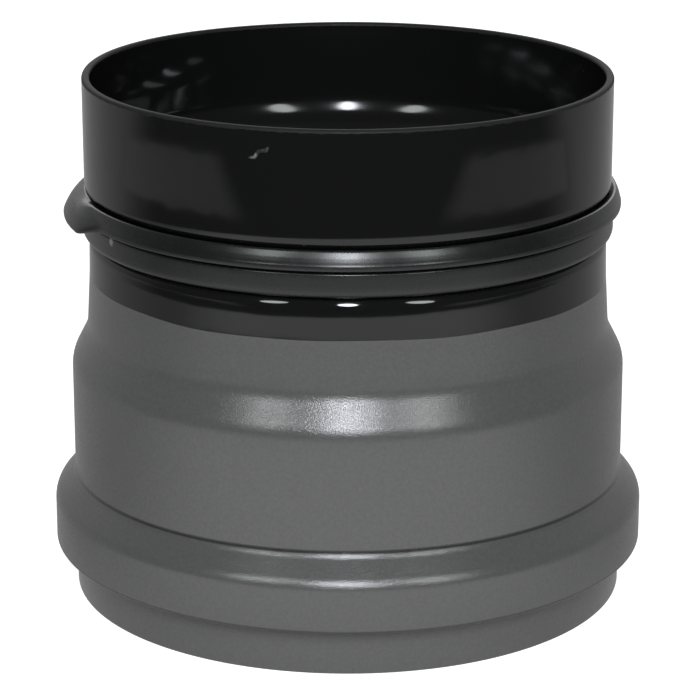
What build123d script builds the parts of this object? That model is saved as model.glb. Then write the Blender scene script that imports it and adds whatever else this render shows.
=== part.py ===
from build123d import *
import os

# Stove pipe connector: a formed steel pipe with a spigot above and a socket below,
# and a rubber lip gasket in the groove under the spigot.
# Millimetres, Z up along the flue, Z = 0 at the mouth of the socket, front towards -Y.

# Pipe and sheet
pipe_diameter = 80.0  # outside of the spigot, the nominal flue size
wall = 1.2  # sheet and enamel together
socket_clearance = 1.25  # radial room for the next spigot inside the socket

# Heights, stacked from the mouth of the socket up to the rim of the spigot
collar_height = 6.5
seat_floor_rise = 1.0
seat_wall_height = 7.1
seat_slope_height = 3.85
body_height = 18.15
step_height = 4.75
flare_height = 8.0  # lower part of the neck, the more conical one
neck_height = 6.35  # upper part of the neck
groove_floor_width = 6.26
spigot_length = 14.24  # above the bend over the groove

# Radial steps of the steel
seat_depth = 3.15  # the gasket seat stands out from the socket body by this much
waist_relief = 0.48  # the neck's middle is drawn in from the spigot by this much
neck_relief = 0.64  # the same at the neck's upper end
groove_depth = 3.8  # below the spigot, and the height of the groove's upper flank, which slopes by 45 degrees
edge_fill = 3.3  # the spigot's lower edge is squared off this far below the bend over the groove

# Rounds on the outside of the steel
mouth_round = 0.3
rim_round = 0.5
seat_foot_round = 0.6
seat_edge_round = 0.4
seat_crown_round = 3.2
crease_round = 2.3
shoulder_round = 5.5
step_round = 5.5
waist_round = 60.0
ledge_round = 1.55
groove_round = 0.6
spigot_edge_round = 1.5

# Rounds on the inside of the steel where they do not simply follow the outside
tight_bend = 0.5
spigot_inside_bend = 5.7

# Gasket
seat_clearance = 0.05  # between gasket and groove on all three sides
band_overhang = 0.37  # lower band beyond the spigot
band_height = 3.75
band_round = 0.75
lip_overhang = 1.5  # upper lip beyond the spigot
lip_side_height = 1.3
lip_face_height = 1.9  # sloped face above the lip's side
lip_round = 0.9  # above and below the lip's side
crest_overhang = 0.55  # top of the sloped face beyond the spigot
crest_round = 0.35
slit_depth = 0.4  # open slit between the upper lip and the spigot's edge
notch_width = 0.4  # between band and upper lip
notch_depth = 1.1
shelf_width = 1.95  # part of the gasket that fills the groove's full width

# Stretch of the upper lip that has sprung out on the left
flap_overhang = 3.67  # sharp tip beyond the spigot, before its round
flap_drop = 3.91  # sharp tip below the top of the gasket
flap_tip_round = 0.36
flap_root = 0.1  # flap begins this far inside the spigot's radius
flap_rise = 0.75  # and this far above the top of the gasket, under the round of the spigot's edge
flap_angle = 46.0  # full width, degrees
flap_taper_angle = 7.0  # each end, degrees
flap_end_scale = 0.25  # section left at the outer end of each taper
flap_end_sink = 0.9  # and how far it lies inside the ring

pipe_radius = pipe_diameter / 2
socket_outer_radius = pipe_radius + socket_clearance + wall
seat_outer_radius = socket_outer_radius + seat_depth
waist_radius = pipe_radius - waist_relief
neck_top_radius = pipe_radius - neck_relief
groove_radius = pipe_radius - groove_depth

seat_floor = collar_height
seat_foot = seat_floor + seat_floor_rise
seat_crown = seat_foot + seat_wall_height
crease = seat_crown + seat_slope_height
shoulder = crease + body_height
neck_foot = shoulder + step_height
waist = neck_foot + flare_height
ledge = waist + neck_height
flank_foot = ledge + groove_floor_width
flank_top = flank_foot + groove_depth
spigot_edge = flank_top - edge_fill
rim = flank_top + spigot_length


def inside_corner(before, corner, after):
    """Point one wall thickness inside a corner of the outer line, on the line that halves the corner."""
    come = (corner - before).normalized()
    leave = (after - corner).normalized()
    come_side = Vector(-come.Y, come.X)
    leave_side = Vector(-leave.Y, leave.X)
    return corner + (come_side + leave_side) * (wall / (1 + come_side.dot(leave_side)))


def turned(points, rounds, turn=360.0, start=0.0):
    """Solid turned about Z from a closed outline in radius and height with rounded corners."""
    outline = Plane.XZ * make_face(FilletPolyline(*points, radius=rounds, close=True))
    return revolve(Rot(0, 0, start) * outline, axis=Axis.Z, revolution_arc=turn)


# Line along the outside of the formed sheet from mouth to rim: radius, height, outside round, inside round
steel_corners = [
    (socket_outer_radius, 0.0, mouth_round, mouth_round),
    (socket_outer_radius, seat_floor, seat_foot_round, seat_foot_round + wall),
    (seat_outer_radius, seat_foot, seat_edge_round, tight_bend),
    (seat_outer_radius, seat_crown, seat_crown_round, seat_crown_round - wall),
    (socket_outer_radius, crease, crease_round, crease_round + wall),
    (socket_outer_radius, shoulder, shoulder_round, shoulder_round - wall),
    (pipe_radius, neck_foot, step_round, step_round + wall),
    (waist_radius, waist, waist_round, waist_round + wall),
    (neck_top_radius, ledge, ledge_round, ledge_round - wall),
    (groove_radius, ledge, groove_round, groove_round + wall),
    (groove_radius, flank_foot, groove_round, groove_round + wall),
    (pipe_radius, flank_top, spigot_edge_round, spigot_inside_bend),
    (pipe_radius, rim, rim_round, rim_round),
]
outer_line = [Vector(radius, height) for radius, height, _, _ in steel_corners]
outer_rounds = [outside for _, _, outside, _ in steel_corners]
inner_rounds = [inside for _, _, _, inside in steel_corners]
inner_line = [inside_corner(*outer_line[i - 1 : i + 2]) for i in range(1, len(outer_line) - 1)]
inner_line.insert(0, outer_line[0] - Vector(wall, 0))
inner_line.append(outer_line[-1] - Vector(wall, 0))

# Square lower edge of the spigot, outside only, in place of the bend over the groove
outer_line[-2] = Vector(pipe_radius, spigot_edge)
outer_line.insert(-2, Vector(pipe_radius - edge_fill, spigot_edge))
outer_rounds.insert(-2, groove_round)
pipe_body = turned(outer_line + inner_line[::-1], outer_rounds + inner_rounds[::-1])

# Gasket ring: a root that fills the groove, a square band below and a lip with a sloped face above
root_radius = groove_radius + seat_clearance
root_top = flank_foot - seat_clearance * (2**0.5 - 1)
gasket_foot = ledge + seat_clearance
gasket_top = spigot_edge - seat_clearance
band_radius = pipe_radius + band_overhang
band_top = gasket_foot + band_height
lip_radius = pipe_radius + lip_overhang
lip_foot = band_top + notch_width
lip_shoulder = lip_foot + lip_side_height
crest_radius = pipe_radius + crest_overhang
crest = lip_shoulder + lip_face_height
shelf_radius = root_radius + shelf_width
ring_outline = [
    (root_radius, gasket_foot),
    (band_radius, gasket_foot),
    (band_radius, band_top),
    (band_radius - notch_depth, band_top + notch_width / 2),
    (lip_radius, lip_foot),
    (lip_radius, lip_shoulder),
    (crest_radius, crest),
    (shelf_radius, gasket_top - slit_depth),
    (shelf_radius, gasket_top),
    (root_radius + gasket_top - root_top, gasket_top),
    (root_radius, root_top),
]
root_round = groove_round - seat_clearance
lip_rounds = [lip_round, lip_round, crest_round]
ring_rounds = [root_round, band_round, band_round, 0.0, *lip_rounds, 0.0, 0.0, root_round, root_round]
gasket_ring = turned(ring_outline, ring_rounds)

# Sprung stretch: a flap that droops from the groove's upper edge, tapered into the ring at both ends
flap_tip = Vector(pipe_radius + flap_overhang, gasket_top - flap_drop)
flap_top = Vector(pipe_radius - flap_root, gasket_top + flap_rise)
flap_heel = Vector(band_radius - notch_depth, lip_foot)
flap_outline = [flap_tip, flap_top, flap_heel]
flap_rounds = [flap_tip_round, 0.0, 0.0]
flap_start = 180.0 - flap_angle / 2
flap_stop = 180.0 + flap_angle / 2
gasket_flap = turned(flap_outline, flap_rounds, flap_angle, flap_start)

flap_middle = (flap_tip + flap_top + flap_heel) / 3 - Vector(flap_end_sink, 0)
end_outline = [flap_middle + (corner - flap_middle) * flap_end_scale for corner in flap_outline]
end_rounds = [flap_tip_round * flap_end_scale, 0.0, 0.0]
full_section = Plane.XZ * make_face(FilletPolyline(*flap_outline, radius=flap_rounds, close=True))
end_section = Plane.XZ * make_face(FilletPolyline(*end_outline, radius=end_rounds, close=True))
front_taper = loft([Rot(0, 0, flap_stop) * full_section, Rot(0, 0, flap_stop + flap_taper_angle) * end_section])
back_taper = loft([Rot(0, 0, flap_start) * full_section, Rot(0, 0, flap_start - flap_taper_angle) * end_section])
sealing_gasket = gasket_ring + [gasket_flap, front_taper, back_taper]

os.makedirs("parts", exist_ok=True)
export_step(pipe_body, "parts/pipe_body.step")
export_step(sealing_gasket, "parts/sealing_gasket.step")
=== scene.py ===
import math

import bpy
import numpy as np
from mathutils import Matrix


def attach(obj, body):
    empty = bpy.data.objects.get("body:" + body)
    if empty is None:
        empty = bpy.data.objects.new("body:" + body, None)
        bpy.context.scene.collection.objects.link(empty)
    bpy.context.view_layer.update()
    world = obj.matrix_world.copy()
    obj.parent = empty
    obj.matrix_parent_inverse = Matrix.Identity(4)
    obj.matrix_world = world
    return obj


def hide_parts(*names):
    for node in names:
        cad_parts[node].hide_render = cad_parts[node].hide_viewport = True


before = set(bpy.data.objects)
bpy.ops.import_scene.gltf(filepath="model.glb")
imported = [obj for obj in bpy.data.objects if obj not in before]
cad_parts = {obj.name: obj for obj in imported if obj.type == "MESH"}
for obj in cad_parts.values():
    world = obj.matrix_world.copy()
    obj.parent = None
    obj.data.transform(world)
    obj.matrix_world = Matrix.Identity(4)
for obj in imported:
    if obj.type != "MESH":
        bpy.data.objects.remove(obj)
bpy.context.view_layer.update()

# Stove pipe connector: enamelled and painted steel pipe with a rubber lip gasket in its groove.
# Metres, Z up along the flue, front towards -Y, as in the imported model.

MM = 0.001

# Steel pipe, millimetres
PIPE_RADIUS = 40.0
WALL = 1.2
INNER_FACE = PIPE_RADIUS - WALL
SOCKET_CLEARANCE = 1.25
SOCKET_RADIUS = PIPE_RADIUS + SOCKET_CLEARANCE + WALL
SEAT_RADIUS = SOCKET_RADIUS + 3.15
WAIST_RADIUS = PIPE_RADIUS - 0.48
NECK_TOP_RADIUS = PIPE_RADIUS - 0.6
GROOVE_DEPTH = 3.8
GROOVE_RADIUS = PIPE_RADIUS - GROOVE_DEPTH
EDGE_FILL = 3.3
SEAT_FLOOR = 6.5
SEAT_FOOT = SEAT_FLOOR + 1.0
SEAT_CROWN = SEAT_FOOT + 7.35
CREASE = SEAT_CROWN + 3.6
SHOULDER = CREASE + 18.0
NECK_FOOT = SHOULDER + 4.75
WAIST = NECK_FOOT + 8.15
LEDGE = WAIST + 6.35
FLANK_FOOT = LEDGE + 6.26
FLANK_TOP = FLANK_FOOT + GROOVE_DEPTH
SPIGOT_EDGE = FLANK_TOP - EDGE_FILL
RIM = FLANK_TOP + 14.24

# Rounds on the steel, millimetres
MOUTH_ROUND = 0.3
SEAT_FOOT_ROUND = 0.6
SEAT_EDGE_ROUND = 0.4
TIGHT_BEND = 0.5
SEAT_CROWN_ROUND = 3.2
CREASE_ROUND = 2.3
SHOULDER_ROUND = 5.5
STEP_ROUND = 5.5
WAIST_ROUND = 60.0
LEDGE_ROUND = 1.55
GROOVE_ROUND = 0.6
SPIGOT_EDGE_ROUND = 1.5
SPIGOT_INSIDE_BEND = 5.7
RIM_ROUND = 0.5
WALL_START = 0.8  # first row of the spigot's wall above its edge round, where the round's shading runs out
INSIDE_BEND_DROP = 0.9  # bend inside the spigot, below the line one wall thickness inside the groove

# Line along the outside of the sheet from mouth to rim: radius, height, outside round, inside round
SHEET_CORNERS = [
    (SOCKET_RADIUS, 0.0, MOUTH_ROUND, MOUTH_ROUND),
    (SOCKET_RADIUS, SEAT_FLOOR, SEAT_FOOT_ROUND, SEAT_FOOT_ROUND + WALL),
    (SEAT_RADIUS, SEAT_FOOT, SEAT_EDGE_ROUND, TIGHT_BEND),
    (SEAT_RADIUS, SEAT_CROWN, SEAT_CROWN_ROUND, SEAT_CROWN_ROUND - WALL),
    (SOCKET_RADIUS, CREASE, CREASE_ROUND, CREASE_ROUND + WALL),
    (SOCKET_RADIUS, SHOULDER, SHOULDER_ROUND, SHOULDER_ROUND - WALL),
    (PIPE_RADIUS, NECK_FOOT, STEP_ROUND, STEP_ROUND + WALL),
    (WAIST_RADIUS, WAIST, WAIST_ROUND, WAIST_ROUND + WALL),
    (NECK_TOP_RADIUS, LEDGE, LEDGE_ROUND, LEDGE_ROUND - WALL),
    (GROOVE_RADIUS, LEDGE, GROOVE_ROUND, GROOVE_ROUND + WALL),
    (GROOVE_RADIUS, FLANK_FOOT, GROOVE_ROUND, GROOVE_ROUND + WALL),
    (PIPE_RADIUS, FLANK_TOP, SPIGOT_EDGE_ROUND, SPIGOT_INSIDE_BEND),
    (PIPE_RADIUS, RIM, RIM_ROUND, RIM_ROUND),
]

# Stretch of the spigot that is out of round: millimetres at the rim, degrees from the front to the right
BULGE = 0.8
BULGE_ANGLE = 234.0
BULGE_HALF_WIDTH = 45.0

# Paint line, millimetres: height in front, tilt across the pipe and waviness
PAINT_LINE = 49.4
PAINT_TILT = 0.3
PAINT_WAVE = 0.12

# Waves of the paint line: count round the pipe, share of the waviness, phase in radians
PAINT_WAVES = [(3, 1.0, 0.6), (7, 0.6, 2.0), (13, 0.4, 0.0)]

# Heights on the neck between which the row that moves to the paint line is chosen, millimetres
NECK_ROWS = (NECK_FOOT + 1.0, LEDGE - 3.0)

# Marks, millimetres and degrees: scuff in front, dark line in the crease, painted shade at the seat's foot
SCUFF_PLACE = (-12.4, -38.05, 76.6)
SCUFF_SIZE = (2.3, 1.0, 0.36)
SCUFF_TILT = -33.0
SCUFF_STROKE = 0.42  # one stroke of the zigzag, as a share of half the scuff's length
SCUFF_RISE = 3.0  # slope of the strokes
CREASE_LINE = CREASE + 0.4
EDGE_SHADE = SEAT_FOOT + 0.15
SPECK_LIMIT = 0.75  # cells whose random value is above this have a speck of dust

# Gasket, millimetres
SEAT_CLEARANCE = 0.05
ROOT_RADIUS = GROOVE_RADIUS + SEAT_CLEARANCE
ROOT_ROUND = 0.55
GASKET_FOOT = LEDGE + SEAT_CLEARANCE
GASKET_TOP = SPIGOT_EDGE - SEAT_CLEARANCE
GASKET_MIDDLE = (GASKET_FOOT + GASKET_TOP) / 2
ROOT_TOP = FLANK_FOOT - SEAT_CLEARANCE * (math.sqrt(2) - 1)
BAND_RADIUS = PIPE_RADIUS + 0.37
BAND_TOP = GASKET_FOOT + 3.75
BAND_ROUND = 0.35
BAND_FOOT_ROUND = 1.2
NOTCH_WIDTH = 0.4
NOTCH = (BAND_RADIUS - 0.7, BAND_TOP + NOTCH_WIDTH / 2)
LIP_RADIUS = PIPE_RADIUS + 1.5
LIP_FOOT = BAND_TOP + NOTCH_WIDTH
LIP_SHOULDER = LIP_FOOT + 1.3
LIP_UNDERCUT = 0.25
LIP_FOOT_ROUND = 0.2
RIDGE = (LIP_RADIUS - 0.08, LIP_FOOT + 1.1)
RIDGE_FOOT = LIP_FOOT + 0.93
LIP_FACE = (LIP_RADIUS - 0.3, LIP_SHOULDER + 0.8)
LIP_FACE_ROUND = 5.0
CREST = (PIPE_RADIUS + 0.66, LIP_SHOULDER + 1.9)
CREST_ROUND = 0.35
SHELF_RADIUS = ROOT_RADIUS + 1.95
SLIT_FLOOR = GASKET_TOP - 0.4

# Sprung stretch of the lip on the left, millimetres and degrees
FLAP_TIP = (PIPE_RADIUS + 3.55, GASKET_TOP - 3.7)
FLAP_TIP_ROUND = 0.36
FLAP_BACK = (PIPE_RADIUS + 2.25, GASKET_TOP - 1.25)
FLAP_BACK_ROUND = 6.0
FLAP_TOP = (PIPE_RADIUS - 0.1, GASKET_TOP + 0.75)
FLAP_TOP_ROUND = 0.08
FLAP_TIP_REACH = 21.0
FLAP_TOP_REACH = 12.0
FLAP_TAPER = 9.0

# Shares of the way up the lip: the tip's reach holds below the first, the top edge's above the second
FLAP_TIP_SHARE = 0.4
FLAP_TOP_SHARE = 0.7

# Painted highlight on the gasket: a pale glint where the sprung stretch ends in front, millimetres
GLINT_PLACE = (-34.53, -20.92, 59.1)
GLINT_SIZE = (0.55, 1.2, 0.95)

# Grid of the turned surfaces: columns, turn of one arc step, longest rows in millimetres, rows of the lip
AROUND = 320
ARC_STEP = math.radians(7.0)
LONGEST_RUN = 3.0
GASKET_RUN = 1.0
LIP_STEPS = 48

# Brightness of the room in front of the object and behind it, where 1 is white
ROOM_FRONT = 0.06
ROOM_BACK = 0.37

# Floor, metres: half its side, and its drop below the mouth so that the two do not share a plane
FLOOR_HALF = 4.0
FLOOR_DROP = 0.05 * MM

# Painted light on the floor for reflections, metres: lit pool, bright spot in it, curved strip on each side
POOL_PLACE = (0.01, 0.0, 0.0)
POOL_SIZE = (0.258, 0.265, 1.0)
SPOT_PLACE = (0.0, -0.19, 0.0)
SPOT_SIZE = (0.30, 0.20, 1.0)
STRIP_RADIUS = 0.3245
STRIP_MIDDLE = -0.067
STRIP_SLANT = 0.038

# Glow that lifts the floor to white for the camera, where 1 is white
FLOOR_GLOW = 0.9

# Lamps, metres: distance from the point they face, and that point's height on the axis
LAMP_DISTANCE = 1.2
LAMP_AIM = 0.04

# Lamps: name, degrees from the front and above the floor, degrees wide and tall, radiance, colour
LAMPS = [
    ("front_lamp", 0.0, 29.0, 8.0, 28.0, 34.0, "#f3f6fc"),
    ("left_lamp", -34.0, 31.5, 10.5, 25.0, 9.8, "#eff6f4"),
    ("right_lamp", 33.0, 29.5, 10.5, 28.0, 9.8, "#eff6f4"),
    ("back_lamp", 180.0, 30.0, 80.0, 40.0, 1.2, "#ffffff"),
]

# Camera, fitted to the photograph: pixels, millimetres and degrees
IMAGE_SIDE = 696
FOCAL_PIXELS = 2973.5
CAMERA_BACK = 440.2
CAMERA_UP = 171.26
CAMERA_PITCH = 17.04
CENTRE_COLUMN = 347.82
CENTRE_ROW = 348.5


def linear(hex_colour):
    """Linear RGBA of an sRGB hex colour."""
    srgb = np.array([int(hex_colour[i : i + 2], 16) for i in (1, 3, 5)]) / 255.0
    rgb = np.where(srgb <= 0.04045, srgb / 12.92, ((srgb + 0.055) / 1.055) ** 2.4)
    return (*rgb.tolist(), 1.0)


def add(tree, kind, links=None, **settings):
    """One node of a kind: settings are its attributes or input values, links feed inputs from sockets."""
    node = tree.nodes.new(kind)
    for name, value in settings.items():
        if hasattr(node, name):
            setattr(node, name, value)
        else:
            node.inputs[name].default_value = value
    for name, socket in (links or {}).items():
        tree.links.new(socket, node.inputs[name])
    return node


def rounded_line(corners):
    """Points along a line of (radius, height, round) corners in millimetres.

    Each inner corner is replaced by the arc that touches both its sides, sampled every ARC_STEP of turn.
    """
    corners = np.array(corners, float)
    line = [corners[0, :2]]
    for before, corner, after in zip(corners[:-2], corners[1:-1], corners[2:]):
        come = (corner - before)[:2] / np.linalg.norm((corner - before)[:2])
        leave = (after - corner)[:2] / np.linalg.norm((after - corner)[:2])
        turn = math.atan2(come[0] * leave[1] - come[1] * leave[0], come @ leave)
        if corner[2] == 0.0:
            line.append(corner[:2])
            continue
        steps = max(2, math.ceil(abs(turn) / ARC_STEP))
        swept = np.linspace(0.0, turn, steps + 1)[:, None]
        start = corner[:2] - come * corner[2] * math.tan(abs(turn) / 2)
        side = np.array([-come[1], come[0]]) * math.copysign(1.0, turn)
        forward = np.sin(np.abs(swept)) * come
        inward = (1 - np.cos(swept)) * side
        line.extend(start + corner[2] * (forward + inward))
    line.append(corners[-1, :2])
    return np.array(line)


def spaced(line, longest):
    """The same line with each straight run longer than that length divided evenly."""
    lengths = np.linalg.norm(np.diff(line, axis=0), axis=1)
    parts = np.maximum(1, np.ceil(lengths / longest).astype(int))
    along = np.concatenate([i + np.arange(n) / n for i, n in enumerate(parts)] + [[len(line) - 1]])
    marks = np.arange(len(line))
    return np.stack([np.interp(along, marks, line[:, k]) for k in (0, 1)], -1)


def walked(line, shares):
    """Points at the given shares of the way along a line."""
    lengths = np.linalg.norm(np.diff(line, axis=0), axis=1)
    way = np.concatenate([[0.0], np.cumsum(lengths)]) / lengths.sum()
    return np.stack([np.interp(shares, way, line[:, k]) for k in (0, 1)], -1)


def turned_piece(name, radius, height, angle, materials, choose=None):
    """Closed surface turned about Z: rows go round a closed outline, columns go round the axis.

    Point (i, j) lies at radius[i, j] and height[i, j], turned by angle[j] from -Y towards +X. Both directions
    wrap, so the surface has no seam. The outline runs anticlockwise in radius and height, so faces look
    outwards.
    """
    rows, columns = radius.shape
    points = np.stack([radius * np.sin(angle), -radius * np.cos(angle), height], -1) * MM
    i, j = np.meshgrid(np.arange(rows), np.arange(columns), indexing="ij")
    i_next = (i + 1) % rows
    j_next = (j + 1) % columns
    corners = [i * columns + j, i * columns + j_next, i_next * columns + j_next, i_next * columns + j]
    faces = np.stack(corners, -1).reshape(-1, 4)
    mesh = bpy.data.meshes.new(name)
    mesh.vertices.add(rows * columns)
    mesh.vertices.foreach_set("co", points.reshape(-1))
    mesh.loops.add(faces.size)
    mesh.loops.foreach_set("vertex_index", faces.reshape(-1).astype(np.int32))
    mesh.polygons.add(len(faces))
    mesh.polygons.foreach_set("loop_start", np.arange(0, faces.size, 4, dtype=np.int32))
    mesh.update(calc_edges=True)
    mesh.polygons.foreach_set("use_smooth", np.ones(len(faces), bool))
    for material in materials:
        mesh.materials.append(material)
    if choose is not None:
        mesh.polygons.foreach_set("material_index", choose.reshape(-1).astype(np.int32))
    mesh.validate()
    piece = bpy.data.objects.new(name, mesh)
    bpy.context.scene.collection.objects.link(piece)
    return piece


def vitreous_enamel():
    """Black vitreous enamel: glass frit fired on to steel.

    It gives the eye a deep black with mirror-sharp reflections, slightly uneven like all fired glass, with a
    few specks of dust, one scuff in front and a worn, duller rim.
    """
    material = bpy.data.materials.new("black_vitreous_enamel")
    material.use_nodes = True
    tree = material.node_tree
    shader = tree.nodes["Principled BSDF"]
    place = add(tree, "ShaderNodeTexCoord").outputs["Object"]
    height = add(tree, "ShaderNodeSeparateXYZ", {"Vector": place}).outputs["Z"]

    # Orange peel of the fired coat, about 4 mm from crest to crest
    peel = add(tree, "ShaderNodeTexNoise", {"Vector": place}, Scale=1 / (4 * MM), Detail=1.0)
    bump = add(tree, "ShaderNodeBump", {"Height": peel.outputs["Fac"]}, Strength=0.02, Distance=0.3 * MM)

    # Dust specks, one in each cell of 6 mm, 0.2 mm across, only where the cell's own random colour is high
    cells = add(tree, "ShaderNodeTexVoronoi", {"Vector": place}, Scale=1 / (6 * MM))
    chance = add(tree, "ShaderNodeSeparateColor", {"Color": cells.outputs["Color"]})
    speck = add(
        tree, "ShaderNodeMapRange", {"Value": cells.outputs["Distance"]},
        **{"From Min": 0.012, "From Max": 0.03, "To Min": 1.0, "To Max": 0.0},
    )
    few = add(tree, "ShaderNodeMath", {0: chance.outputs["Red"]}, operation="GREATER_THAN")
    few.inputs[1].default_value = SPECK_LIMIT
    specks = add(tree, "ShaderNodeMath", {0: speck.outputs[0], 1: few.outputs[0]}, operation="MULTIPLY")

    # Scuff in front, a zigzag 4 mm long, uneven over about 0.8 mm
    stroke = add(tree, "ShaderNodeTexNoise", {"Vector": place}, Scale=1 / (0.8 * MM), Detail=2.0)
    broken = add(
        tree, "ShaderNodeMapRange", {"Value": stroke.outputs["Fac"]},
        **{"From Min": 0.42, "From Max": 0.62, "To Min": 0.1, "To Max": 1.0},
    )
    patch = add(
        tree, "ShaderNodeMapping", {"Vector": place}, vector_type="TEXTURE",
        Location=tuple(v * MM for v in SCUFF_PLACE), Rotation=(0.0, math.radians(SCUFF_TILT), 0.0),
        Scale=tuple(v * MM for v in SCUFF_SIZE),
    )
    along = add(tree, "ShaderNodeSeparateXYZ", {"Vector": patch.outputs[0]})
    zigzag = add(tree, "ShaderNodeMath", {0: along.outputs["X"]}, operation="PINGPONG")
    zigzag.inputs[1].default_value = SCUFF_STROKE
    aside = add(
        tree, "ShaderNodeMath", {0: zigzag.outputs[0], 2: along.outputs["Z"]}, operation="MULTIPLY_ADD",
    )
    aside.inputs[1].default_value = SCUFF_RISE
    streak = add(
        tree, "ShaderNodeCombineXYZ",
        {"X": along.outputs["X"], "Y": along.outputs["Y"], "Z": aside.outputs[0]},
    )
    away = add(tree, "ShaderNodeVectorMath", {0: streak.outputs[0]}, operation="LENGTH")
    within = add(
        tree, "ShaderNodeMapRange", {"Value": away.outputs["Value"]},
        **{"From Min": 0.3, "From Max": 1.0, "To Min": 1.0, "To Max": 0.0},
    )
    scuff = add(tree, "ShaderNodeMath", {0: broken.outputs[0], 1: within.outputs[0]}, operation="MULTIPLY")
    marks = add(tree, "ShaderNodeMath", {0: specks.outputs[0], 1: scuff.outputs[0]}, operation="MAXIMUM")

    # Worn rim, ragged at its lower edge
    ragged = add(tree, "ShaderNodeMath", {0: stroke.outputs["Fac"], 2: height}, operation="MULTIPLY_ADD")
    ragged.inputs[1].default_value = 0.5 * MM
    worn = add(
        tree, "ShaderNodeMapRange", {"Value": ragged.outputs[0]},
        **{"From Min": (RIM - 0.35) * MM, "From Max": (RIM - 0.1) * MM, "To Min": 0.0, "To Max": 1.0},
    )

    black = add(tree, "ShaderNodeMix", {"Factor": worn.outputs[0]}, data_type="RGBA")
    black.inputs["A"].default_value = linear("#111111")
    black.inputs["B"].default_value = linear("#222221")
    tone = add(
        tree, "ShaderNodeMix", {"Factor": marks.outputs[0], "A": black.outputs["Result"]}, data_type="RGBA",
    )
    tone.inputs["B"].default_value = linear("#8a8a86")

    # Gloss: sharp outside, a little duller inside the pipe, dull at the marks, dull and weak at the rim
    flat = add(tree, "ShaderNodeMapping", {"Vector": place}, Scale=(1.0, 1.0, 0.0))
    radius = add(tree, "ShaderNodeVectorMath", {0: flat.outputs[0]}, operation="LENGTH")
    clear = add(
        tree, "ShaderNodeMapRange", {"Value": radius.outputs["Value"]},
        **{"From Min": (INNER_FACE + 0.1) * MM, "From Max": (INNER_FACE + 0.4) * MM},
        **{"To Min": 0.125, "To Max": 0.045},
    )
    dull = add(tree, "ShaderNodeMath", {0: marks.outputs[0], 1: worn.outputs[0]}, operation="MAXIMUM")
    gloss = add(
        tree, "ShaderNodeMapRange", {"Value": dull.outputs[0], "To Min": clear.outputs[0]},
        **{"From Min": 0.0, "From Max": 1.0, "To Max": 0.6},
    )
    sheen = add(
        tree, "ShaderNodeMapRange", {"Value": worn.outputs[0]},
        **{"From Min": 0.0, "From Max": 1.0, "To Min": 0.5, "To Max": 0.15},
    )
    tree.links.new(tone.outputs["Result"], shader.inputs["Base Color"])
    tree.links.new(gloss.outputs["Result"], shader.inputs["Roughness"])
    tree.links.new(sheen.outputs["Result"], shader.inputs["Specular IOR Level"])
    tree.links.new(bump.outputs["Normal"], shader.inputs["Normal"])
    shader.inputs["IOR"].default_value = 1.5
    return material


def heat_resistant_paint():
    """Grey heat-resistant silicone paint, sprayed on and baked.

    It gives the eye an even mid grey with a satin gloss, broken by the fine grit of dried spray, a thin dark
    line in the crease above the gasket seat, and a thin line of painted shade along the seat's lower edge.
    """
    material = bpy.data.materials.new("grey_heat_resistant_paint")
    material.use_nodes = True
    tree = material.node_tree
    shader = tree.nodes["Principled BSDF"]
    place = add(tree, "ShaderNodeTexCoord").outputs["Object"]
    height = add(tree, "ShaderNodeSeparateXYZ", {"Vector": place}).outputs["Z"]

    # Spray grit, drawn at 0.5 mm, coarser than the real 0.1 mm, so that it shows
    grit = add(tree, "ShaderNodeTexNoise", {"Vector": place}, Scale=1 / (0.5 * MM), Detail=2.0)
    speckle = add(tree, "ShaderNodeMix", {"Factor": grit.outputs["Fac"]}, data_type="RGBA")
    speckle.inputs["A"].default_value = linear("#4f4e4d")
    speckle.inputs["B"].default_value = linear("#5e5d5c")

    # The same grit as a bump, drawn at 0.15 mm, which spreads the highlights
    spread = add(tree, "ShaderNodeTexNoise", {"Vector": place}, Scale=1 / (0.15 * MM), Detail=1.0)
    bump = add(tree, "ShaderNodeBump", {"Height": spread.outputs["Fac"]}, Strength=1.0, Distance=0.03 * MM)

    # Dark lines, half a millimetre wide: one in the crease, one of painted shade along the seat's lower edge
    crease = add(tree, "ShaderNodeMath", {0: height}, operation="SUBTRACT")
    crease.inputs[1].default_value = CREASE_LINE * MM
    crease_away = add(tree, "ShaderNodeMath", {0: crease.outputs[0]}, operation="ABSOLUTE")
    edge = add(tree, "ShaderNodeMath", {0: height}, operation="SUBTRACT")
    edge.inputs[1].default_value = EDGE_SHADE * MM
    edge_away = add(tree, "ShaderNodeMath", {0: edge.outputs[0]}, operation="ABSOLUTE")
    away = add(
        tree, "ShaderNodeMath", {0: crease_away.outputs[0], 1: edge_away.outputs[0]}, operation="MINIMUM",
    )
    crease_line_and_edge_shade = add(
        tree, "ShaderNodeMapRange", {"Value": away.outputs[0]}, interpolation_type="SMOOTHSTEP",
        **{"From Min": 0.1 * MM, "From Max": 0.4 * MM, "To Min": 0.85, "To Max": 0.0},
    )
    tone = add(
        tree, "ShaderNodeMix", {"Factor": crease_line_and_edge_shade.outputs[0], "A": speckle.outputs["Result"]}, data_type="RGBA",
    )
    tone.inputs["B"].default_value = linear("#1e1e1d")

    # Gloss in cloudy patches about 12 mm across
    cloud = add(tree, "ShaderNodeTexNoise", {"Vector": place}, Scale=1 / (12 * MM), Detail=3.0)
    gloss = add(
        tree, "ShaderNodeMapRange", {"Value": cloud.outputs["Fac"]},
        **{"From Min": 0.3, "From Max": 0.7, "To Min": 0.16, "To Max": 0.19},
    )
    tree.links.new(tone.outputs["Result"], shader.inputs["Base Color"])
    tree.links.new(gloss.outputs["Result"], shader.inputs["Roughness"])
    tree.links.new(bump.outputs["Normal"], shader.inputs["Normal"])
    shader.inputs["IOR"].default_value = 1.65
    return material


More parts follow.
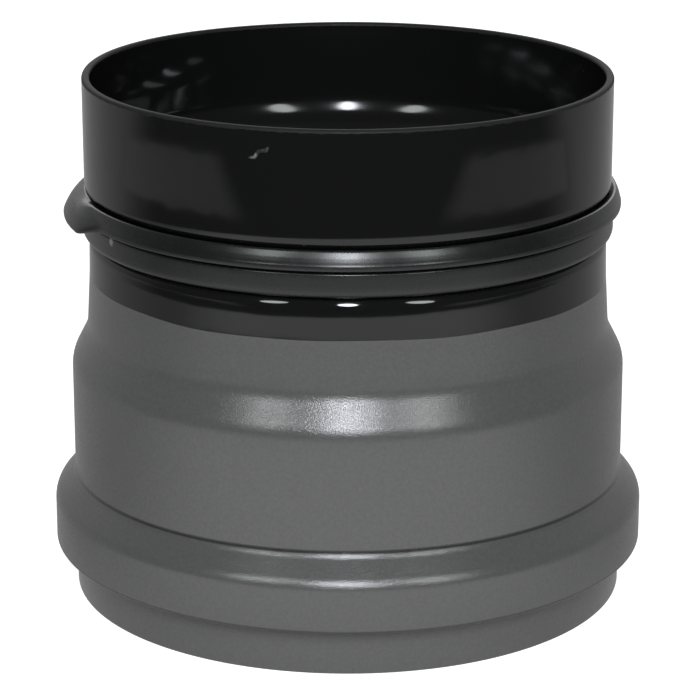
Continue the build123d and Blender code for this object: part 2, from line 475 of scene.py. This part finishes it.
def silicone_rubber():
    """Black silicone rubber, extruded and joined to a ring.

    It gives the eye a soft black with broad, blurred highlights, a thin film of dust and one painted glint.
    """
    material = bpy.data.materials.new("black_silicone_rubber")
    material.use_nodes = True
    tree = material.node_tree
    shader = tree.nodes["Principled BSDF"]
    place = add(tree, "ShaderNodeTexCoord").outputs["Object"]

    # Film of dust in patches about 3 mm across
    film = add(tree, "ShaderNodeTexNoise", {"Vector": place}, Scale=1 / (3 * MM), Detail=4.0, Roughness=0.65)
    dusty = add(tree, "ShaderNodeMix", {"Factor": film.outputs["Fac"]}, data_type="RGBA")
    dusty.inputs["A"].default_value = linear("#121212")
    dusty.inputs["B"].default_value = linear("#1d1e1e")

    # Painted highlight: a pale glint, one oval with a soft edge
    glint_place = add(
        tree, "ShaderNodeMapping", {"Vector": place}, vector_type="TEXTURE",
        Location=tuple(v * MM for v in GLINT_PLACE), Scale=tuple(v * MM for v in GLINT_SIZE),
    )
    glint_away = add(tree, "ShaderNodeVectorMath", {0: glint_place.outputs[0]}, operation="LENGTH")
    painted_glint = add(
        tree, "ShaderNodeMapRange", {"Value": glint_away.outputs["Value"]}, interpolation_type="SMOOTHSTEP",
        **{"From Min": 0.3, "From Max": 1.0, "To Min": 1.0, "To Max": 0.0},
    )
    tone = add(
        tree, "ShaderNodeMix", {"Factor": painted_glint.outputs[0], "A": dusty.outputs["Result"]}, data_type="RGBA",
    )
    tone.inputs["B"].default_value = linear("#868683")

    # Gloss, a little duller where the film is thick
    gloss = add(
        tree, "ShaderNodeMapRange", {"Value": film.outputs["Fac"]},
        **{"From Min": 0.3, "From Max": 0.7, "To Min": 0.25, "To Max": 0.3},
    )
    tree.links.new(tone.outputs["Result"], shader.inputs["Base Color"])
    tree.links.new(gloss.outputs["Result"], shader.inputs["Roughness"])
    shader.inputs["IOR"].default_value = 1.55
    return material


def inside_of(line):
    """Line one wall thickness inside a line of corners: each corner moves along the line that halves it."""
    along = np.diff(line, axis=0)
    along /= np.linalg.norm(along, axis=1, keepdims=True)
    side = np.stack([-along[:, 1], along[:, 0]], -1)
    before = np.concatenate([side[:1], side])
    after = np.concatenate([side, side[-1:]])
    return line + WALL * (before + after) / (1 + (before * after).sum(1, keepdims=True))


def pipe_outline():
    """Closed outline of the steel, anticlockwise: outer line from mouth to rim, inner line back down.

    The inner line lies one wall thickness inside, with its bend under the spigot a little lower. On the outer
    line a square edge takes the place of the bend over the groove, and a row close above its round keeps the
    wall straight to the eye. Returns the points and how many of them are on the outer line.
    """
    corners = np.array(SHEET_CORNERS)
    inner = np.column_stack([inside_of(corners[:, :2]), corners[:, 3]])[::-1]
    inner[1, 1] -= INSIDE_BEND_DROP
    outer = corners[:, :3].copy()
    outer[-2, 1] = SPIGOT_EDGE
    outer = np.insert(outer, -2, (PIPE_RADIUS - EDGE_FILL, SPIGOT_EDGE, GROOVE_ROUND), 0)
    wall_start = SPIGOT_EDGE + SPIGOT_EDGE_ROUND + WALL_START
    outer = np.insert(outer, -1, (PIPE_RADIUS, wall_start, 0.0), 0)
    mouth = (SOCKET_RADIUS - WALL / 2, 0.0, 0.0)
    top = (PIPE_RADIUS - WALL / 2, RIM, 0.0)
    outside = spaced(rounded_line([mouth, *outer, top]), LONGEST_RUN)
    inside = spaced(rounded_line([top, *inner, mouth]), LONGEST_RUN)
    return np.concatenate([outside[:-1], inside[:-1]]), len(outside) - 1


def make_pipe():
    """Steel pipe, turned from its outline.

    One row of the neck slides up and down with the edge of the paint, by a tilt and a sum of sines. The
    spigot is out of round on one side: its radius grows by a squared cosine of the angle from there, in step
    with the height above its edge.
    """
    outline, outer_count = pipe_outline()
    angle = np.arange(AROUND) / AROUND * 2 * math.pi
    radius = np.repeat(outline[:, :1], AROUND, 1)
    height = np.repeat(outline[:, 1:], AROUND, 1)
    outside = np.arange(len(outline)) < outer_count
    on_neck = (outline[:, 1] > NECK_ROWS[0]) & (outline[:, 1] < NECK_ROWS[1])
    neck = np.flatnonzero(outside & on_neck)
    edge_row = neck[np.argmin(np.abs(outline[neck, 1] - PAINT_LINE))]
    wave = sum(share * np.sin(count * angle + phase) for count, share, phase in PAINT_WAVES)
    height[edge_row] = PAINT_LINE - PAINT_TILT * np.sin(angle) + PAINT_WAVE * wave
    radius[edge_row] = np.interp(height[edge_row], outline[neck, 1], outline[neck, 0])
    from_bulge = np.abs(np.angle(np.exp(1j * (angle - math.radians(BULGE_ANGLE))), deg=True))
    around = np.cos(np.clip(from_bulge / BULGE_HALF_WIDTH, 0.0, 1.0) * math.pi / 2) ** 2
    radius += BULGE * around * np.clip((height - SPIGOT_EDGE) / (RIM - SPIGOT_EDGE), 0.0, 1.0)
    painted = np.zeros((len(outline), AROUND), int)
    painted[:edge_row] = 1
    finishes = [vitreous_enamel(), heat_resistant_paint()]
    pipe = turned_piece("enamelled_pipe", radius, height, angle, finishes, painted)
    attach(pipe, "root")
    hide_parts("pipe_body")


def make_gasket():
    """Rubber ring: root in the groove, square band, notch, and a lip whose section changes round the ring.

    Where the lip lies home it has a short side, a fine ridge and a rounded face. Round the left side its
    points move in step towards a drooping triangle, by a share that rises smoothly from 0 to 1 over the taper
    angle. That share reaches further round the ring at the triangle's tip than at its top edge.
    """
    angle = np.arange(AROUND) / AROUND * 2 * math.pi
    below = rounded_line([
        (ROOT_RADIUS, GASKET_MIDDLE, 0.0),
        (ROOT_RADIUS, GASKET_FOOT, ROOT_ROUND),
        (BAND_RADIUS, GASKET_FOOT, BAND_FOOT_ROUND),
        (BAND_RADIUS, BAND_TOP, BAND_ROUND),
        (*NOTCH, 0.0),
    ])
    home = rounded_line([
        (*NOTCH, 0.0),
        (LIP_RADIUS, LIP_FOOT + LIP_UNDERCUT, LIP_FOOT_ROUND),
        (LIP_RADIUS, RIDGE_FOOT, 0.0),
        (*RIDGE, 0.0),
        (*LIP_FACE, LIP_FACE_ROUND),
        (*CREST, CREST_ROUND),
        (SHELF_RADIUS, SLIT_FLOOR, 0.0),
    ])
    sprung = rounded_line([
        (*NOTCH, 0.0),
        (*FLAP_TIP, FLAP_TIP_ROUND),
        (*FLAP_BACK, FLAP_BACK_ROUND),
        (*FLAP_TOP, FLAP_TOP_ROUND),
        (SHELF_RADIUS, SLIT_FLOOR, 0.0),
    ])
    above = rounded_line([
        (SHELF_RADIUS, SLIT_FLOOR, 0.0),
        (SHELF_RADIUS, GASKET_TOP, 0.0),
        (ROOT_RADIUS + GASKET_TOP - ROOT_TOP, GASKET_TOP, ROOT_ROUND),
        (ROOT_RADIUS, ROOT_TOP, ROOT_ROUND),
        (ROOT_RADIUS, GASKET_MIDDLE, 0.0),
    ])
    shares = np.linspace(0.0, 1.0, LIP_STEPS + 1)
    home = walked(home, shares)
    sprung = walked(sprung, shares)
    from_left = np.abs(np.angle(np.exp(1j * (angle + math.pi / 2)), deg=True))
    ends = [FLAP_TIP_SHARE, FLAP_TOP_SHARE]
    reach = np.interp(shares, ends, [FLAP_TIP_REACH, FLAP_TOP_REACH])[:, None]
    spring = np.clip((reach + FLAP_TAPER - from_left) / FLAP_TAPER, 0.0, 1.0)
    spring = (spring * spring * (3 - 2 * spring))[:, :, None]
    lip = home[:, None] * (1 - spring) + sprung[:, None] * spring
    band = np.repeat(spaced(below, GASKET_RUN)[:-1, None], AROUND, 1)
    root = np.repeat(spaced(above, GASKET_RUN)[:-1, None], AROUND, 1)
    section = np.concatenate([band, lip[:-1], root])
    gasket = turned_piece("lip_gasket", section[:, :, 0], section[:, :, 1], angle, [silicone_rubber()])
    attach(gasket, "root")
    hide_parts("sealing_gasket")


def sheet_of_paper():
    """Matt white paper under the object.

    The camera sees it white, darkened by the object's shadow. Reflections see only painted light: a pool in
    front of the object, a paler strip on each side and painted shade on the paper behind, with the dim room
    beyond.
    """
    material = bpy.data.materials.new("matt_white_paper")
    material.use_nodes = True
    tree = material.node_tree
    shader = tree.nodes["Principled BSDF"]
    output = tree.nodes["Material Output"]
    place = add(tree, "ShaderNodeTexCoord").outputs["Object"]
    axes = add(tree, "ShaderNodeSeparateXYZ", {"Vector": place})
    soft = {"interpolation_type": "SMOOTHSTEP"}

    # Paper fibres about 2 mm long
    fibre = add(tree, "ShaderNodeTexNoise", {"Vector": place}, Scale=1 / (2 * MM), Detail=3.0)
    white = add(tree, "ShaderNodeMix", {"Factor": fibre.outputs["Fac"]}, data_type="RGBA")
    white.inputs["A"].default_value = linear("#c6c6c5")
    white.inputs["B"].default_value = linear("#cccccb")

    # Painted pool of light, brightest in front
    pool_place = add(
        tree, "ShaderNodeMapping", {"Vector": place}, vector_type="TEXTURE",
        Location=POOL_PLACE, Scale=POOL_SIZE,
    )
    pool_away = add(tree, "ShaderNodeVectorMath", {0: pool_place.outputs[0]}, operation="LENGTH")
    pool = add(
        tree, "ShaderNodeMapRange", {"Value": pool_away.outputs["Value"]}, **soft,
        **{"From Min": 0.975, "From Max": 1.025, "To Min": 1.0, "To Max": 0.0},
    )
    spot_place = add(
        tree, "ShaderNodeMapping", {"Vector": place}, vector_type="TEXTURE",
        Location=SPOT_PLACE, Scale=SPOT_SIZE,
    )
    spot_away = add(tree, "ShaderNodeVectorMath", {0: spot_place.outputs[0]}, operation="LENGTH")
    spot = add(
        tree, "ShaderNodeMapRange", {"Value": spot_away.outputs["Value"]}, **soft,
        **{"From Min": 0.5, "From Max": 1.05, "To Min": 1.0, "To Max": 0.36},
    )
    front = add(tree, "ShaderNodeMath", {0: pool.outputs[0], 1: spot.outputs[0]}, operation="MULTIPLY")

    # Painted paler strip on each side, curved, which reaches a little further forwards on the right
    ring_away = add(tree, "ShaderNodeVectorMath", {0: place}, operation="LENGTH")
    ring_from = add(tree, "ShaderNodeMath", {0: ring_away.outputs["Value"]}, operation="SUBTRACT")
    ring_from.inputs[1].default_value = STRIP_RADIUS
    ring_gap = add(tree, "ShaderNodeMath", {0: ring_from.outputs[0]}, operation="ABSOLUTE")
    ring = add(
        tree, "ShaderNodeMapRange", {"Value": ring_gap.outputs[0]}, **soft,
        **{"From Min": 0.027, "From Max": 0.033, "To Min": 0.38, "To Max": 0.0},
    )
    slanted = add(
        tree, "ShaderNodeMath", {0: axes.outputs["X"], 2: axes.outputs["Y"]}, operation="MULTIPLY_ADD",
    )
    slanted.inputs[1].default_value = STRIP_SLANT
    length_from = add(tree, "ShaderNodeMath", {0: slanted.outputs[0]}, operation="SUBTRACT")
    length_from.inputs[1].default_value = STRIP_MIDDLE
    length_gap = add(tree, "ShaderNodeMath", {0: length_from.outputs[0]}, operation="ABSOLUTE")
    length = add(
        tree, "ShaderNodeMapRange", {"Value": length_gap.outputs[0]}, **soft,
        **{"From Min": 0.13, "From Max": 0.185, "To Min": 1.0, "To Max": 0.0},
    )
    strips = add(tree, "ShaderNodeMath", {0: ring.outputs[0], 1: length.outputs[0]}, operation="MULTIPLY")

    # Dim room in front, painted shade on the paper behind
    room = add(
        tree, "ShaderNodeMapRange", {"Value": axes.outputs["Y"]}, **soft,
        **{"From Min": -0.05, "From Max": 0.12, "To Min": ROOM_FRONT, "To Max": ROOM_BACK},
    )
    paler = add(tree, "ShaderNodeMath", {0: front.outputs[0], 1: strips.outputs[0]}, operation="MAXIMUM")
    mirrored = add(tree, "ShaderNodeMath", {0: paler.outputs[0], 1: room.outputs[0]}, operation="MAXIMUM")

    # Glow that lifts the paper to white for the camera, and is all that reflections see
    path = add(tree, "ShaderNodeLightPath")
    lift = add(tree, "ShaderNodeMath", {0: path.outputs["Is Camera Ray"]}, operation="MULTIPLY")
    lift.inputs[1].default_value = FLOOR_GLOW
    tree.links.new(white.outputs["Result"], shader.inputs["Base Color"])
    tree.links.new(lift.outputs[0], shader.inputs["Emission Strength"])
    shader.inputs["Emission Color"].default_value = linear("#ffffff")
    shader.inputs["Roughness"].default_value = 0.9
    shader.inputs["Specular IOR Level"].default_value = 0.0
    mirror = add(
        tree, "ShaderNodeMath", {0: path.outputs["Is Glossy Ray"], 1: path.outputs["Is Transmission Ray"]},
        operation="MAXIMUM",
    )
    glow = add(tree, "ShaderNodeEmission", {"Strength": mirrored.outputs[0]})
    either = add(
        tree, "ShaderNodeMixShader", {0: mirror.outputs[0], 1: shader.outputs[0], 2: glow.outputs[0]},
    )
    tree.links.new(either.outputs[0], output.inputs["Surface"])
    return material


def make_floor():
    """Flat square floor, a grid of two parameters with one face, a hair below the pipe's mouth."""
    sides = [-FLOOR_HALF, FLOOR_HALF]
    across, along = np.meshgrid(sides, sides, indexing="ij")
    points = np.stack([across, along, np.full_like(across, -FLOOR_DROP)], -1).reshape(-1, 3)
    mesh = bpy.data.meshes.new("floor")
    mesh.from_pydata(points.tolist(), [], [(0, 2, 3, 1)])
    mesh.materials.append(sheet_of_paper())
    floor = bpy.data.objects.new("floor", mesh)
    bpy.context.scene.collection.objects.link(floor)


def make_lamp(name, azimuth, elevation, wide, tall, radiance, colour):
    """Oval soft lamp that faces the object, at degrees from the front and above the floor.

    Its size comes from the angles that it covers, and its power from the radiance of its face, as pi times
    its area times the radiance.
    """
    lamp = bpy.data.lights.new(name, "AREA")
    lamp.shape = "ELLIPSE"
    lamp.size = 2 * LAMP_DISTANCE * math.tan(math.radians(wide) / 2)
    lamp.size_y = 2 * LAMP_DISTANCE * math.tan(math.radians(tall) / 2)
    lamp.energy = math.pi * (math.pi / 4 * lamp.size * lamp.size_y) * radiance
    lamp.color = linear(colour)[:3]
    turn = math.radians(azimuth)
    lift = math.radians(elevation)
    piece = bpy.data.objects.new(name, lamp)
    piece.location = (
        LAMP_DISTANCE * math.sin(turn) * math.cos(lift),
        -LAMP_DISTANCE * math.cos(turn) * math.cos(lift),
        LAMP_AIM + LAMP_DISTANCE * math.sin(lift),
    )
    piece.rotation_euler = (math.pi / 2 - lift, 0.0, turn)
    bpy.context.scene.collection.objects.link(piece)


def make_camera():
    """Camera at the photograph's place: focal length from pixels, pitch downwards from the horizontal."""
    data = bpy.data.cameras.new("camera")
    data.sensor_width = 36.0
    data.lens = data.sensor_width * FOCAL_PIXELS / IMAGE_SIDE
    data.shift_x = (IMAGE_SIDE / 2 - CENTRE_COLUMN) / IMAGE_SIDE
    data.shift_y = (CENTRE_ROW - IMAGE_SIDE / 2) / IMAGE_SIDE
    data.clip_start = 0.01
    camera = bpy.data.objects.new("camera", data)
    camera.location = (0.0, -CAMERA_BACK * MM, CAMERA_UP * MM)
    camera.rotation_euler = (math.radians(90 - CAMERA_PITCH), 0.0, 0.0)
    bpy.context.scene.collection.objects.link(camera)
    bpy.context.scene.camera = camera


def make_world():
    """Surroundings: white to the camera, otherwise a room that is dim in front and lighter behind."""
    world = bpy.data.worlds.new("dim_room")
    world.use_nodes = True
    tree = world.node_tree
    background = tree.nodes["Background"]
    direction = add(tree, "ShaderNodeTexCoord").outputs["Generated"]
    axes = add(tree, "ShaderNodeSeparateXYZ", {"Vector": direction})
    room = add(
        tree, "ShaderNodeMapRange", {"Value": axes.outputs["Y"]}, interpolation_type="SMOOTHSTEP",
        **{"From Min": -0.2, "From Max": 0.7, "To Min": ROOM_FRONT, "To Max": ROOM_BACK},
    )
    path = add(tree, "ShaderNodeLightPath")
    mirror = add(
        tree, "ShaderNodeMath", {0: path.outputs["Is Glossy Ray"], 1: path.outputs["Is Transmission Ray"]},
        operation="MAXIMUM",
    )
    mirrored = add(tree, "ShaderNodeMath", {0: room.outputs[0], 1: mirror.outputs[0]}, operation="MULTIPLY")
    shown = add(
        tree, "ShaderNodeMath", {0: mirrored.outputs[0], 1: path.outputs["Is Camera Ray"]},
        operation="MAXIMUM",
    )
    seen = add(tree, "ShaderNodeMath", {0: shown.outputs[0]}, operation="MAXIMUM")
    seen.inputs[1].default_value = ROOM_FRONT
    tree.links.new(seen.outputs[0], background.inputs["Strength"])
    background.inputs["Color"].default_value = linear("#ffffff")
    bpy.context.scene.world = world


make_pipe()
make_gasket()
make_floor()
for lamp in LAMPS:
    make_lamp(*lamp)
make_camera()
make_world()
bpy.context.scene.view_settings.view_transform = "Standard"
